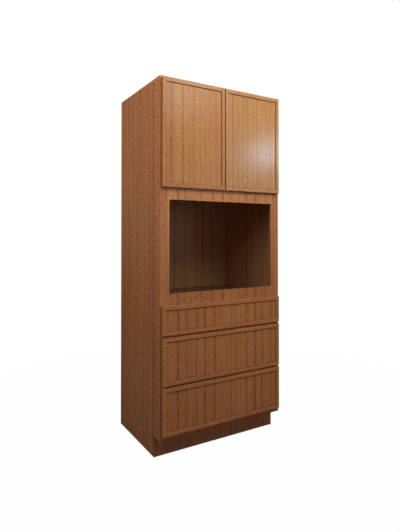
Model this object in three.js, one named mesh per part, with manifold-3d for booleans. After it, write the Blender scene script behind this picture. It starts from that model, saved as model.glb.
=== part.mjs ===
// A tall oven housing: a face-frame kitchen cabinet with two cupboard doors above an open oven
// bay and three drawers below it. Millimetres, +Z up, the front towards -Y. The origin is on the
// floor, under the middle of the outline.
//
// The carcass is housed together: decks sit in dados and the back in rabbets. The doors and
// drawer fronts are slim frames round a tongued panel. The drawer boxes are dovetailed at all
// four corners and hang on telescopic runners, and the doors turn on concealed cup hinges.

import * as THREE from "three";
import { mergeVertices } from "three/addons/utils/BufferGeometryUtils.js";
import Module from "manifold-3d";

const wasm = await Module();
wasm.setup();

// Outline of the cabinet
const cabinetWidth = 838.2;
const cabinetHeight = 2133.6;
const cabinetDepth = 609.6; // front of the face frame to the back
const toeKickHeight = 114.3;
const toeKickSetback = 76.2; // behind the front of the face frame

// Stock
const sideThickness = 12.7;
const backThickness = 12.7;
const deckThickness = 12.7; // top panel, cupboard floor and bottom panel, and every dado
const ovenShelfThickness = 19.05;
const toeBoardThickness = 12.7;
const frameThickness = 19.05; // face frame
const frontThickness = 19.05; // doors and drawer fronts

// Face frame, as it shows round the fronts and the oven
const stileWidth = 44.45;
const topRailHeight = 44.45;
const ovenJambWidth = 13.5; // oven panel beside the opening
const ovenOpeningHeight = 526.8;
const ovenSillHeight = 65.3; // top drawer front to the opening
const ovenHeadHeight = 68.3; // opening to the doors
const ovenShelfDrop = 51; // shelf below the opening's lower edge
const bottomReveal = 27; // below the bottom drawer front
const reveal = 9.525; // beside every front and above the doors

// Doors and drawer fronts
const doorGap = 6.35; // between the two doors
const doorOverlay = 12.7; // doors over the oven panel
const drawerGap = 12.7;
const drawerOverlay = 12.7; // drawer fronts over their rails
const frontStandoff = 2.1; // fronts off the face frame, on bumpers
const drawerFrontHeights = { bottom_drawer: 263.5, middle_drawer: 263.5, top_drawer: 161.9 };
const memberWidth = 22.225; // stiles and rails of the fronts
const panelRecess = 6.35;
const tongueThickness = 6.35;
const tongueLength = 6;
const easedEdge = 0.8;
const seamWidth = 0.4; // line between stile and rail
const seamDepth = 0.4;

// Joinery
const glueLine = 0.3; // between pieces that touch
const dadoDepth = 4;
const rabbetDepth = 6.35;
const pinHoleRadius = 2.5;
const pinHoleDepth = 8;
const pinHolePitch = 64;
const pinHoleCount = 5;
const pinHoleSetback = 60; // from the front and the back of the cupboard

// Drawer boxes
const boxStock = 15.9;
const boxLift = 14; // above the lower edge of the opening
const boxHeadroom = 20; // below its upper edge
const tailPitch = 26;
const tailShare = 0.62; // of the pitch, at the wide end
const tailSlope = 1 / 7;
const tailClearance = 0.15;
const boxBottomThickness = 6.35;
const boxBottomLift = 12.7;
const boxGrooveDepth = 6;

// Telescopic runners, one track in the cabinet and one rail on the drawer
const runnerSpace = 12.7; // beside the drawer box
const runnerSteel = 1.2;
const trackHeight = 45;
const railHeight = 33;
const ballGap = 0.8;
const slipGap = 0.2;
const runnerSetback = 3; // behind the front of the face frame
const runnerRearSpace = 60.5;
const runnerLift = 40; // centre line above the bottom of the drawer box
const footHeight = 30;
const footWidth = 22;

// Concealed hinges
const hingeInset = 90; // from the ends of the door
const boreRadius = 17.5;
const boreDepth = 11.5;
const boreEdgeDistance = 3;
const cupWall = 0.8;
const cupEarThickness = 1.1;
const cupEarWidth = 14;
const cupEarReach = 29;
const cupScrewSpread = 22.5;
const hingeScrewRadius = 2;
const pivotInset = 5.6; // from the outer edge of the door
const pivotDepth = 9; // from the back of the door
const pinRadius = 0.8;
const pinHalfLength = 7.6;
const eyeRadius = 1.4;
const eyeBoreRadius = 0.95;
const armHalfWidth = 5;
const armSlotGap = 0.5;
const armThickness = 1.4;
const plateThickness = 1.5;
const plateHalfHeight = 24;
const plateScrewSpread = 16;
const plateMargin = 1.2; // inside the thickness of the face frame

// Facets of round work
const smallRoundSides = 12;
const cupSides = 40;
const overrun = 5; // of a cutting solid past the face that it cuts

// Planes that the pieces share
const halfWidth = cabinetWidth / 2;
const stileEdge = halfWidth - stileWidth;
const backFace = (cabinetDepth + frontStandoff + frontThickness) / 2;
const frameFront = backFace - cabinetDepth;
const frameBack = frameFront + frameThickness;
const frontBack = frameFront - frontStandoff; // back face of doors and drawer fronts
const carcassFront = frameBack + glueLine;
const backPanelFront = backFace - backThickness;
const deckY = [carcassFront, backPanelFront - glueLine];
const sideInner = halfWidth - sideThickness;
const toeBoardFront = frameFront + toeKickSetback;

// Heights, from the floor up
const drawers = stackDrawers();
const bottomOpeningLow = drawers[0].opening[0];
const topDrawer = drawers[drawers.length - 1];
const ovenLow = topDrawer.front[1] + ovenSillHeight;
const ovenHigh = ovenLow + ovenOpeningHeight;
const ovenShelfTop = ovenLow - ovenShelfDrop;
const ovenShelfLow = ovenShelfTop - ovenShelfThickness;
const doorLow = ovenHigh + ovenHeadHeight;
const doorHigh = cabinetHeight - reveal;
const cupboardLow = doorLow + doorOverlay;
const doorWidth = halfWidth - reveal - doorGap / 2;
const runnerLength = cabinetDepth - backThickness - runnerRearSpace - runnerSetback;

const stainedWood = new THREE.MeshStandardMaterial({ color: 0xa57046, roughness: 0.42, metalness: 0 });
const boxWood = new THREE.MeshStandardMaterial({ color: 0xd9bd90, roughness: 0.5, metalness: 0 });
const zincSteel = new THREE.MeshStandardMaterial({ color: 0xb9bcc0, roughness: 0.35, metalness: 1 });
const nickelSteel = new THREE.MeshStandardMaterial({ color: 0xc9c7c2, roughness: 0.22, metalness: 1 });

const hands = [{ side: "left", sign: -1 }, { side: "right", sign: 1 }];
const axisX = new THREE.Vector3(1, 0, 0);
const axisY = new THREE.Vector3(0, 1, 0);
const axisZ = new THREE.Vector3(0, 0, 1);
const mergeDistance = 1e-4;

// Each drawer with the height of its front and of the opening behind it
function stackDrawers() {
  let low = toeKickHeight + bottomReveal;
  return Object.entries(drawerFrontHeights).map(([name, height]) => {
    const front = [low, low + height];
    low += height + drawerGap;
    return { name, front, opening: [front[0] + drawerOverlay, front[1] - drawerOverlay] };
  });
}

// Solids: every span is a pair, low and high

function block(x, y, z) {
  const size = [x, y, z].map(([low, high]) => high - low);
  const middle = [x, y, z].map(([low, high]) => (low + high) / 2);
  return new THREE.BoxGeometry(...size).translate(...middle);
}

function rectangle(x, y) {
  return new THREE.Shape([[x[0], y[0]], [x[1], y[0]], [x[1], y[1]], [x[0], y[1]]].map(toPoint));
}

function toPoint([x, y]) {
  return new THREE.Vector2(x, y);
}

// A shape drawn in Y and Z, extruded along X
function extrudeX(shape, [low, high]) {
  const turn = new THREE.Matrix4().makeBasis(axisY, axisZ, axisX);
  const geometry = new THREE.ExtrudeGeometry(shape, { depth: high - low, bevelEnabled: false });
  return geometry.applyMatrix4(turn).translate(low, 0, 0);
}

// A shape drawn in X and Z, extruded along Y, with its long edges eased by ease
function extrudeY(shape, [low, high], ease = 0) {
  const turn = new THREE.Matrix4().makeBasis(axisX, axisZ, axisY.clone().negate());
  const geometry = new THREE.ExtrudeGeometry(shape, {
    depth: high - low - 2 * ease,
    bevelEnabled: ease > 0,
    bevelThickness: ease,
    bevelSize: ease,
    bevelOffset: -ease,
    bevelSegments: 1,
  });
  return geometry.applyMatrix4(turn).translate(0, high - ease, 0);
}

// A shape drawn in X and Y, extruded along Z
function extrudeZ(shape, [low, high]) {
  const geometry = new THREE.ExtrudeGeometry(shape, { depth: high - low, bevelEnabled: false });
  return geometry.translate(0, 0, low);
}

function rod(axis, radius, sides, [low, high]) {
  const geometry = new THREE.CylinderGeometry(radius, radius, high - low, sides);
  geometry.translate(0, (low + high) / 2, 0);
  if (axis === "x") geometry.rotateZ(-Math.PI / 2);
  if (axis === "z") geometry.rotateX(Math.PI / 2);
  return geometry;
}

// The outline of a strip of steel bent along a centre line, with mitred corners
function strip(centreLine, thickness) {
  const points = centreLine.map(toPoint);
  const left = [];
  const right = [];
  points.forEach((point, i) => {
    const before = direction(points[Math.max(i - 1, 0)], points[Math.max(i, 1)]);
    const last = points.length - 1;
    const after = direction(points[Math.min(i, last - 1)], points[Math.min(i + 1, last)]);
    const normal = new THREE.Vector2(-before.y - after.y, before.x + after.x).normalize();
    const reach = thickness / 2 / normal.dot(new THREE.Vector2(-before.y, before.x));
    left.push(point.clone().addScaledVector(normal, reach));
    right.unshift(point.clone().addScaledVector(normal, -reach));
  });
  return new THREE.Shape([...left, ...right]);
}

function direction(from, to) {
  return to.clone().sub(from).normalize();
}

function toManifold(geometry) {
  const bare = geometry.clone();
  bare.deleteAttribute("normal");
  bare.deleteAttribute("uv");
  const merged = mergeVertices(bare, mergeDistance);
  const vertProperties = new Float32Array(merged.attributes.position.array);
  const triVerts = new Uint32Array(merged.index.array);
  return new wasm.Manifold(new wasm.Mesh({ numProp: 3, vertProperties, triVerts }));
}

function toGeometry(manifold) {
  const mesh = manifold.getMesh();
  const geometry = new THREE.BufferGeometry();
  geometry.setAttribute("position", new THREE.BufferAttribute(mesh.vertProperties, mesh.numProp));
  geometry.setIndex(new THREE.BufferAttribute(mesh.triVerts, 1));
  return geometry;
}

function cut(geometry, tools) {
  return toGeometry(tools.reduce((body, tool) => body.subtract(toManifold(tool)), toManifold(geometry)));
}

function join(geometry, others) {
  return toGeometry(others.reduce((body, other) => body.add(toManifold(other)), toManifold(geometry)));
}

// The mirror image of a left-hand piece about the plane X = 0, for the right hand
function forHand(sign, leftPiece) {
  if (sign < 0) return leftPiece;
  const mirrored = leftPiece.index ? leftPiece.toNonIndexed() : leftPiece.clone();
  mirrored.scale(-1, 1, 1);
  const position = mirrored.attributes.position;
  for (let i = 0; i < position.count; i += 3) {
    const corner = new THREE.Vector3().fromBufferAttribute(position, i + 1);
    const next = new THREE.Vector3().fromBufferAttribute(position, i + 2);
    position.setXYZ(i + 1, next.x, next.y, next.z);
    position.setXYZ(i + 2, corner.x, corner.y, corner.z);
  }
  return mirrored;
}

function piece(name, geometry, material) {
  const mesh = new THREE.Mesh(geometry, material);
  mesh.name = name;
  return mesh;
}

// Carcass

function carcass() {
  const bottomPanel = [bottomOpeningLow - deckThickness, bottomOpeningLow];
  const shelfTongue = [ovenShelfLow, ovenShelfLow + deckThickness];
  const cupboardFloor = [cupboardLow - deckThickness, cupboardLow];
  const topPanel = [cabinetHeight - deckThickness, cabinetHeight];
  const group = new THREE.Group();
  for (const { side, sign } of hands) {
    const panel = sidePanel([bottomPanel, shelfTongue, cupboardFloor, topPanel]);
    group.add(piece(`${side}_side_panel`, forHand(sign, panel), stainedWood));
  }
  group.add(
    piece("bottom_panel", deck(bottomPanel), stainedWood),
    piece("oven_shelf", ovenShelf(shelfTongue), stainedWood),
    piece("cupboard_floor", deck(cupboardFloor), stainedWood),
    piece("top_panel", deck(topPanel), stainedWood),
    piece("back_panel", backPanel(), stainedWood),
    piece("toe_kick_board", toeKickBoard(bottomPanel[0]), stainedWood),
  );
  return group;
}

// The left side: notched for the toe space, housed for the decks and rabbeted for the back
function sidePanel(deckSpans) {
  const outline = new THREE.Shape([
    [toeBoardFront, 0],
    [backFace, 0],
    [backFace, cabinetHeight],
    [carcassFront, cabinetHeight],
    [carcassFront, toeKickHeight],
    [toeBoardFront, toeKickHeight],
  ].map(toPoint));
  const dadoX = [-sideInner - dadoDepth, -sideInner + overrun];
  const dadoY = [carcassFront - overrun, backPanelFront];
  const dados = deckSpans.map(([low, high]) => {
    const open = high === cabinetHeight ? overrun : glueLine;
    return block(dadoX, dadoY, [low - glueLine, high + open]);
  });
  const rabbetX = [-sideInner - rabbetDepth, -sideInner + overrun];
  const rabbetY = [backPanelFront - glueLine, backFace + overrun];
  const rabbet = block(rabbetX, rabbetY, [-overrun, cabinetHeight + overrun]);
  const panel = extrudeX(outline, [-halfWidth, -sideInner]);
  return cut(panel, [...dados, rabbet, ...pinHoles()]);
}

// Two rows of holes for the pins of the cupboard's loose shelf
function pinHoles() {
  const middle = (cupboardLow + cabinetHeight - deckThickness) / 2;
  const rows = [carcassFront + pinHoleSetback, backPanelFront - pinHoleSetback];
  const steps = [...Array(pinHoleCount).keys()].map((i) => i - (pinHoleCount - 1) / 2);
  const x = [-sideInner - pinHoleDepth, -sideInner + overrun];
  return rows.flatMap((y) => steps.map((step) => (
    rod("x", pinHoleRadius, smallRoundSides, x).translate(0, y, middle + step * pinHolePitch)
  )));
}

function deck(z) {
  const reach = sideInner + dadoDepth - glueLine;
  return block([-reach, reach], deckY, z);
}

// The oven shelf is thicker than the dados, so its ends are rebated above their tongues
function ovenShelf(tongueZ) {
  const reach = sideInner - glueLine;
  return join(deck(tongueZ), [block([-reach, reach], deckY, [tongueZ[0], ovenShelfTop])]);
}

function backPanel() {
  const reach = sideInner + rabbetDepth - glueLine;
  return block([-reach, reach], [backPanelFront, backFace], [0, cabinetHeight]);
}

function toeKickBoard(bottomPanelLow) {
  const reach = sideInner - glueLine;
  const y = [toeBoardFront, toeBoardFront + toeBoardThickness];
  return block([-reach, reach], y, [0, bottomPanelLow - glueLine]);
}

// Face frame

function faceFrame() {
  const y = [frameFront, frameBack];
  const group = new THREE.Group();
  for (const { side, sign } of hands) {
    const stile = block([-halfWidth, -stileEdge], y, [toeKickHeight, cabinetHeight]);
    group.add(piece(`${side}_stile`, forHand(sign, stile), stainedWood));
  }
  const [bottomDrawer, middleDrawer] = drawers;
  const rails = {
    bottom_rail: [toeKickHeight, bottomOpeningLow],
    lower_drawer_rail: [bottomDrawer.opening[1], middleDrawer.opening[0]],
    upper_drawer_rail: [middleDrawer.opening[1], topDrawer.opening[0]],
    top_rail: [cabinetHeight - topRailHeight, cabinetHeight],
  };
  const reach = stileEdge - glueLine;
  for (const [name, z] of Object.entries(rails)) {
    group.add(piece(name, block([-reach, reach], y, z), stainedWood));
  }
  const face = block([-reach, reach], y, [topDrawer.opening[1], cupboardLow]);
  const cutOutX = [ovenJambWidth - stileEdge, stileEdge - ovenJambWidth];
  const cutOutY = [frameFront - overrun, frameBack + overrun];
  const cutOut = block(cutOutX, cutOutY, [ovenLow, ovenHigh]);
  group.add(piece("oven_face_panel", cut(face, [cutOut]), stainedWood));
  return group;
}

// Doors and drawer fronts. A front is drawn on X = 0 and Z = 0 upwards, with its back at Y = 0.

// Stiles and rails glued up: grooved inside for the panel, with a fine line at each joint
function frontFrame(width, height) {
  const half = width / 2;
  const innerX = [-half + memberWidth, half - memberWidth];
  const innerZ = [memberWidth, height - memberWidth];
  const outline = rectangle([-half, half], [0, height]);
  outline.holes.push(rectangle(innerX, innerZ));
  const grooveX = [innerX[0] - tongueLength, innerX[1] + tongueLength];
  const grooveZ = [innerZ[0] - tongueLength, innerZ[1] + tongueLength];
  const tongueFront = -frontThickness + panelRecess;
  const grooveY = [tongueFront - glueLine, tongueFront + tongueThickness + glueLine];
  const seams = innerX.flatMap((x) => [[-overrun, memberWidth], [height - memberWidth, height + overrun]]
    .map((z) => seamCut(x, z)));
  const frame = extrudeY(outline, [-frontThickness, 0], easedEdge);
  return cut(frame, [block(grooveX, grooveY, grooveZ), ...seams]);
}

function seamCut(x, z) {
  const spanX = [x - seamWidth / 2, x + seamWidth / 2];
  return block(spanX, [-frontThickness - overrun, -frontThickness + seamDepth], z);
}

// The panel lies flush with the back of its frame, and a tongue round it fills the groove
function frontPanel(width, height) {
  const reach = width / 2 - memberWidth - glueLine;
  const tongueReach = reach + tongueLength;
  const bodyZ = [memberWidth + glueLine, height - memberWidth - glueLine];
  const tongueZ = [bodyZ[0] - tongueLength, bodyZ[1] + tongueLength];
  const front = -frontThickness + panelRecess;
  const body = block([-reach, reach], [front, 0], bodyZ);
  const tongue = block([-tongueReach, tongueReach], [front, front + tongueThickness], tongueZ);
  return join(body, [tongue]);
}

function doors() {
  const group = new THREE.Group();
  for (const { side, sign } of hands) {
    const door = new THREE.Group();
    door.position.set(sign * (halfWidth - reveal - doorWidth / 2), frontBack, doorLow);
    const height = doorHigh - doorLow;
    const hingeHeights = { lower: hingeInset, upper: height - hingeInset };
    const bores = Object.values(hingeHeights).map(hingeBore);
    const frame = cut(frontFrame(doorWidth, height), bores);
    const panel = cut(frontPanel(doorWidth, height), bores);
    door.add(piece(`${side}_door_frame`, forHand(sign, frame), stainedWood));
    door.add(piece(`${side}_door_panel`, forHand(sign, panel), stainedWood));
    for (const [level, z] of Object.entries(hingeHeights)) {
      const cup = piece(`${side}_door_${level}_hinge_cup`, forHand(sign, hingeCup()), nickelSteel);
      cup.position.z = z;
      door.add(cup);
      const arm = piece(`${side}_door_${level}_hinge_arm`, forHand(sign, hingeArm()), nickelSteel);
      arm.position.copy(door.position).add(cup.position);
      group.add(arm);
    }
    group.add(door);
  }
  return group;
}

// Hinges, drawn for the left door at the height of the hinge, on the door's own axes

const doorEdge = -doorWidth / 2;
const cupX = doorEdge + boreEdgeDistance + boreRadius;
const pivotX = doorEdge + pivotInset;
const cupRadius = boreRadius - glueLine;
const cupTop = glueLine + cupEarThickness;

function hingeBore(z) {
  return rod("y", boreRadius, cupSides, [-boreDepth, overrun]).translate(cupX, 0, z);
}

// A bowl with two screw ears, slotted for the arm, with the hinge pin across it
function hingeCup() {
  const floor = -boreDepth + glueLine;
  const inner = cupRadius - cupWall;
  const bowl = new THREE.LatheGeometry([
    [0, floor],
    [cupRadius, floor],
    [cupRadius, cupTop],
    [inner, cupTop],
    [inner, floor + cupWall],
    [0, floor + cupWall],
  ].map(toPoint), cupSides).translate(cupX, 0, 0);
  const earRadius = cupEarWidth / 2;
  const ears = new THREE.Shape();
  ears.absarc(cupX, cupEarReach - earRadius, earRadius, 0, Math.PI);
  ears.absarc(cupX, earRadius - cupEarReach, earRadius, Math.PI, 2 * Math.PI);
  const earPlate = extrudeY(ears, [glueLine, cupTop]);
  const mouth = rod("y", inner, cupSides, [floor + cupWall, cupTop + overrun]).translate(cupX, 0, 0);
  const slotZ = armHalfWidth + armSlotGap;
  const slotX = [cupX - boreRadius, cupX + boreRadius];
  const slot = block(slotX, [floor + cupWall, cupTop + overrun], [-slotZ, slotZ]);
  const screws = [-cupScrewSpread, cupScrewSpread].map((z) => (
    rod("y", hingeScrewRadius, smallRoundSides, [0, overrun]).translate(cupX, 0, z)
  ));
  const pin = rod("z", pinRadius, smallRoundSides, [-pinHalfLength, pinHalfLength]);
  const shell = cut(join(bowl, [earPlate]), [mouth, slot, ...screws]);
  return join(shell, [pin.translate(pivotX, -pivotDepth, 0)]);
}

// A strap with a rolled eye on the pin; it leaves the cup past the stile's inner edge and ends
// in a plate that is screwed to that edge
function hingeArm() {
  const plateX = doorEdge + stileWidth - reveal + glueLine;
  const outerX = plateX + plateThickness;
  const strapLow = -pivotDepth - eyeRadius;
  const plateY = [frontStandoff + plateMargin, frontStandoff + frameThickness - plateMargin];
  const profile = new THREE.Shape([
    [pivotX, strapLow],
    [outerX, strapLow],
    [outerX, plateY[1]],
    [plateX, plateY[1]],
    [plateX, strapLow + armThickness],
    [pivotX, strapLow + armThickness],
  ].map(toPoint));
  const arm = extrudeZ(profile, [-armHalfWidth, armHalfWidth]);
  const eye = rod("z", eyeRadius, smallRoundSides, [-armHalfWidth, armHalfWidth]);
  const plate = block([plateX, outerX], plateY, [-plateHalfHeight, plateHalfHeight]);
  const boreZ = [-armHalfWidth - overrun, armHalfWidth + overrun];
  const eyeBore = rod("z", eyeBoreRadius, smallRoundSides, boreZ);
  const plateMiddle = (plateY[0] + plateY[1]) / 2;
  const screwX = [plateX - overrun, outerX + overrun];
  const screws = [-plateScrewSpread, plateScrewSpread].map((z) => (
    rod("x", hingeScrewRadius, smallRoundSides, screwX).translate(0, plateMiddle, z)
  ));
  const body = join(arm, [eye.translate(pivotX, -pivotDepth, 0), plate]);
  return cut(body, [eyeBore.translate(pivotX, -pivotDepth, 0), ...screws]);
}

// Drawers, drawn with the back of the front at Y = 0 and the lower edge of the opening at Z = 0

const boxHalfWidth = stileEdge - runnerSpace;
const boxInner = boxHalfWidth - boxStock;
const boxFront = glueLine;
const boxDepth = frontStandoff + runnerSetback + runnerLength;
const boxBack = boxFront + boxDepth;

function drawer({ name, front, opening }) {
  const group = new THREE.Group();
  group.position.set(0, frontBack, opening[0]);
  const frontWidth = cabinetWidth - 2 * reveal;
  const frontHeight = front[1] - front[0];
  const frame = piece(`${name}_front_frame`, frontFrame(frontWidth, frontHeight), stainedWood);
  const panel = piece(`${name}_front_panel`, frontPanel(frontWidth, frontHeight), stainedWood);
  frame.position.z = front[0] - opening[0];
  panel.position.z = front[0] - opening[0];
  group.add(frame, panel);

  const height = opening[1] - opening[0] - boxLift - boxHeadroom;
  const box = new THREE.Group();
  box.position.z = boxLift;
  box.add(piece(`${name}_box_front`, boxEnd(height, boxFront, 1), boxWood));
  box.add(piece(`${name}_box_back`, boxEnd(height, boxBack, -1), boxWood));
  box.add(piece(`${name}_box_bottom`, boxBottom(), boxWood));
  for (const { side, sign } of hands) {
    box.add(piece(`${name}_box_${side}_side`, forHand(sign, boxSide(height)), boxWood));
    box.add(piece(`${name}_${side}_rail`, forHand(sign, runnerRail()), zincSteel));
  }
  group.add(box);
  return group;
}

// The dovetails of a corner, as heights and as half widths at the tip and at the shoulder
function dovetails(height) {
  const count = Math.max(2, Math.round(height / tailPitch));
  const pitch = height / count;
  const wide = pitch * tailShare / 2;
  const narrow = wide - tailSlope * boxStock;
  const centres = [...Array(count).keys()].map((i) => (i + 0.5) * pitch);
  return { wide, narrow, centres };
}

// A side board with tails at both ends, grooved inside for the bottom
function boxSide(height) {
  const { wide, narrow, centres } = dovetails(height);
  const endOutline = (tip, shoulder) => centres.flatMap((z) => [
    [shoulder, z - narrow],
    [tip, z - wide],
    [tip, z + wide],
    [shoulder, z + narrow],
  ]);
  const shoulders = [boxFront + boxStock, boxBack - boxStock];
  const outline = new THREE.Shape([
    [shoulders[0], 0],
    ...endOutline(boxFront, shoulders[0]),
    [shoulders[0], height],
    [shoulders[1], height],
    ...endOutline(boxBack, shoulders[1]).reverse(),
    [shoulders[1], 0],
  ].reverse().map(toPoint));
  const board = extrudeX(outline, [-boxHalfWidth, -boxInner]);
  const grooveX = [-boxInner - boxGrooveDepth, -boxInner + overrun];
  const grooveY = [shoulders[0] - boxGrooveDepth, shoulders[1] + boxGrooveDepth];
  return cut(board, [block(grooveX, grooveY, bottomGrooveSpan())]);
}

// A front or back board: the sockets cut for the tails leave the pins between them
function boxEnd(height, outer, inwards) {
  const { wide, centres } = dovetails(height);
  const span = (from, to) => [Math.min(from, to), Math.max(from, to)];
  const inner = outer + inwards * (boxStock - glueLine);
  const board = block([-boxHalfWidth, boxHalfWidth], span(outer, inner), [0, height]);
  const socketReach = boxInner - tailClearance;
  const socketHalf = (depth) => wide + tailClearance - tailSlope * depth;
  const sockets = centres.flatMap((z) => {
    const outline = new THREE.Shape([
      [outer - inwards * overrun, z - socketHalf(-overrun)],
      [outer + inwards * (boxStock + overrun), z - socketHalf(boxStock + overrun)],
      [outer + inwards * (boxStock + overrun), z + socketHalf(boxStock + overrun)],
      [outer - inwards * overrun, z + socketHalf(-overrun)],
    ].map(toPoint));
    return [
      extrudeX(outline, [-boxHalfWidth - overrun, -socketReach]),
      extrudeX(outline, [socketReach, boxHalfWidth + overrun]),
    ];
  });
  const grooveReach = boxInner + boxGrooveDepth;
  const grooveY = span(outer + inwards * (boxStock - boxGrooveDepth), inner + inwards * overrun);
  return cut(board, [...sockets, block([-grooveReach, grooveReach], grooveY, bottomGrooveSpan())]);
}

function bottomGrooveSpan() {
  return [boxBottomLift - glueLine, boxBottomLift + boxBottomThickness + glueLine];
}

function boxBottom() {
  const reach = boxInner + boxGrooveDepth - glueLine;
  const inset = boxStock - boxGrooveDepth + glueLine;
  const z = [boxBottomLift, boxBottomLift + boxBottomThickness];
  return block([-reach, reach], [boxFront + inset, boxBack - inset], z);
}

// Runners: both sections are drawn from the stile's inner edge towards the drawer, about their
// own middle height

const railWebX = runnerSpace - glueLine - runnerSteel / 2;
const trackLipX = railWebX - runnerSteel - slipGap;
const railLipX = trackLipX - runnerSteel - ballGap;
const railFlangeZ = (railHeight - runnerSteel) / 2;

// The track is a channel whose lips hold the rail's lips behind them, over a row of balls
function runnerTrack() {
  const webX = glueLine + runnerSteel / 2;
  const flangeZ = (trackHeight - runnerSteel) / 2;
  const lipZ = railHeight / 2 + ballGap;
  const section = strip([
    [trackLipX, lipZ],
    [trackLipX, flangeZ],
    [webX, flangeZ],
    [webX, -flangeZ],
    [trackLipX, -flangeZ],
    [trackLipX, -lipZ],
  ], runnerSteel);
  const y = [frontStandoff + runnerSetback, frontStandoff + runnerSetback + runnerLength];
  const footY = frontStandoff + cabinetDepth - backThickness - glueLine - runnerSteel / 2;
  const foot = strip([[webX, y[1] - footWidth], [webX, footY], [webX - footWidth, footY]], runnerSteel);
  const channel = extrudeY(section, y);
  const track = join(channel, [extrudeZ(foot, [-footHeight / 2, footHeight / 2])]);
  return track.translate(-stileEdge, 0, boxLift + runnerLift);
}

function runnerRail() {
  const lipZ = trackHeight / 2 - runnerSteel - ballGap;
  const section = strip([
    [railLipX, lipZ],
    [railLipX, railFlangeZ],
    [railWebX, railFlangeZ],
    [railWebX, -railFlangeZ],
    [railLipX, -railFlangeZ],
    [railLipX, -lipZ],
  ], runnerSteel);
  const y = [frontStandoff + runnerSetback, frontStandoff + runnerSetback + runnerLength];
  return extrudeY(section, y).translate(-stileEdge, 0, runnerLift);
}

function tracks({ name, opening }) {
  const group = new THREE.Group();
  group.position.set(0, frontBack, opening[0]);
  for (const { side, sign } of hands) {
    group.add(piece(`${name}_${side}_track`, forHand(sign, runnerTrack()), zincSteel));
  }
  return group;
}

function ovenHousing() {
  const cabinet = new THREE.Group();
  cabinet.add(carcass(), faceFrame(), doors());
  for (const each of drawers) {
    cabinet.add(drawer(each), tracks(each));
  }
  return cabinet;
}

export default ovenHousing();
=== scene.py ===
import math
import bpy
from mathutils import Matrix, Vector


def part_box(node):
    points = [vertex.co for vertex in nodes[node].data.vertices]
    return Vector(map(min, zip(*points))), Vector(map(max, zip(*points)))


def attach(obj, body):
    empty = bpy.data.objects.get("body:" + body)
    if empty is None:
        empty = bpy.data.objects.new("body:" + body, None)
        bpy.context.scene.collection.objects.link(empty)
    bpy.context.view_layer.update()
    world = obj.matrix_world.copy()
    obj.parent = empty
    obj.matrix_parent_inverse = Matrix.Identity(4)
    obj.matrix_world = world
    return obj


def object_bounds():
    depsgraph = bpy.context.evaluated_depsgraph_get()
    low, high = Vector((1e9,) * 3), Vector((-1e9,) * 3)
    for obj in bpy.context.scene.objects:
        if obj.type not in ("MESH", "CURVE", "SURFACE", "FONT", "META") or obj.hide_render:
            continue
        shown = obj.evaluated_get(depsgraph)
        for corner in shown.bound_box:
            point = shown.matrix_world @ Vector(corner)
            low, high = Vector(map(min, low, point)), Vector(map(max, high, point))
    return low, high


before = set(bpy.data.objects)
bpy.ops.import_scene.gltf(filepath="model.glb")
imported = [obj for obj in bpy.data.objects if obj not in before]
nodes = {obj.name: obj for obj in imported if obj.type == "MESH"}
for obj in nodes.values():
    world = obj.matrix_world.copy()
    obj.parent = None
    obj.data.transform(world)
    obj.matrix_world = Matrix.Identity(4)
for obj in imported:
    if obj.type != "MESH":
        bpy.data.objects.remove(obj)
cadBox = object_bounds()
print("frame loaded:", len(nodes), "nodes")

bpy.context.scene.view_settings.view_transform = "Standard"


class Wire:  # a socket, so that shader sums can be written as sums
    def __init__(self, tree, socket=None):
        self.tree = tree
        self.socket = socket

    def node(self, kind, settings, values, out=0):
        made = self.tree.nodes.new(kind)
        for key, value in settings.items():
            if key == "stops":
                fillRamp(made.color_ramp, value)
            else:
                setattr(made, key, value)
        for key, value in values.items():
            if isinstance(value, Wire):
                self.tree.links.new(value.socket, made.inputs[key])
            else:
                made.inputs[key].default_value = value
        return Wire(self.tree, made.outputs[out])

    def sum(self, operation, *values):
        return self.node("ShaderNodeMath", {"operation": operation}, dict(enumerate(values)))

    def __add__(self, other):
        return self.sum("ADD", self, other)

    def __sub__(self, other):
        return self.sum("SUBTRACT", self, other)

    def __rsub__(self, other):
        return self.sum("SUBTRACT", other, self)

    def __mul__(self, other):
        return self.sum("MULTIPLY", self, other)

    def __lt__(self, other):
        return self.sum("LESS_THAN", self, other)

    def __gt__(self, other):
        return self.sum("GREATER_THAN", self, other)

    def __abs__(self):
        return self.sum("ABSOLUTE", self)

    __radd__ = __add__
    __rmul__ = __mul__

    def part(self, axis):
        return self.node("ShaderNodeSeparateXYZ", {}, {"Vector": self}, axis)

    def rise(self, low, high, top=1.0):  # 0 at low, top at high, smooth between
        limits = {"Value": self, "From Min": low, "From Max": high, "To Min": 0.0, "To Max": top}
        return self.node("ShaderNodeMapRange", {"interpolation_type": "SMOOTHSTEP"}, limits)

    def stretch(self, scale):
        return self.node("ShaderNodeVectorMath", {"operation": "MULTIPLY"}, {0: self, 1: scale})

    def noise(self, scale, detail):
        values = {"Vector": self.stretch(scale), "Scale": 1.0, "Detail": detail}
        return self.node("ShaderNodeTexNoise", {}, values)

    def mix(self, first, second):  # first where this is 0, second where it is 1
        settings = {"data_type": "RGBA"}
        return self.node("ShaderNodeMix", settings, {0: self, 6: first, 7: second}, 2)

    def choose(self, first, second):  # the same for vectors
        settings = {"data_type": "VECTOR"}
        return self.node("ShaderNodeMix", settings, {0: self, 4: first, 5: second}, 1)


def fillRamp(ramp, stops):
    while len(ramp.elements) < len(stops):
        ramp.elements.new(1.0)
    for element, (position, level) in zip(ramp.elements, stops):
        element.position = position
        element.color = (level, level, level, 1)


def newFinish(name):
    finish = bpy.data.materials.new(name)
    finish.use_nodes = True
    tree = finish.node_tree
    shader = tree.nodes["Principled BSDF"]
    place = Wire(tree).node("ShaderNodeTexCoord", {}, {}, "Object")
    return finish, shader, place


def feed(shader, name, wire):
    wire.tree.links.new(wire.socket, shader.inputs[name])


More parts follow.
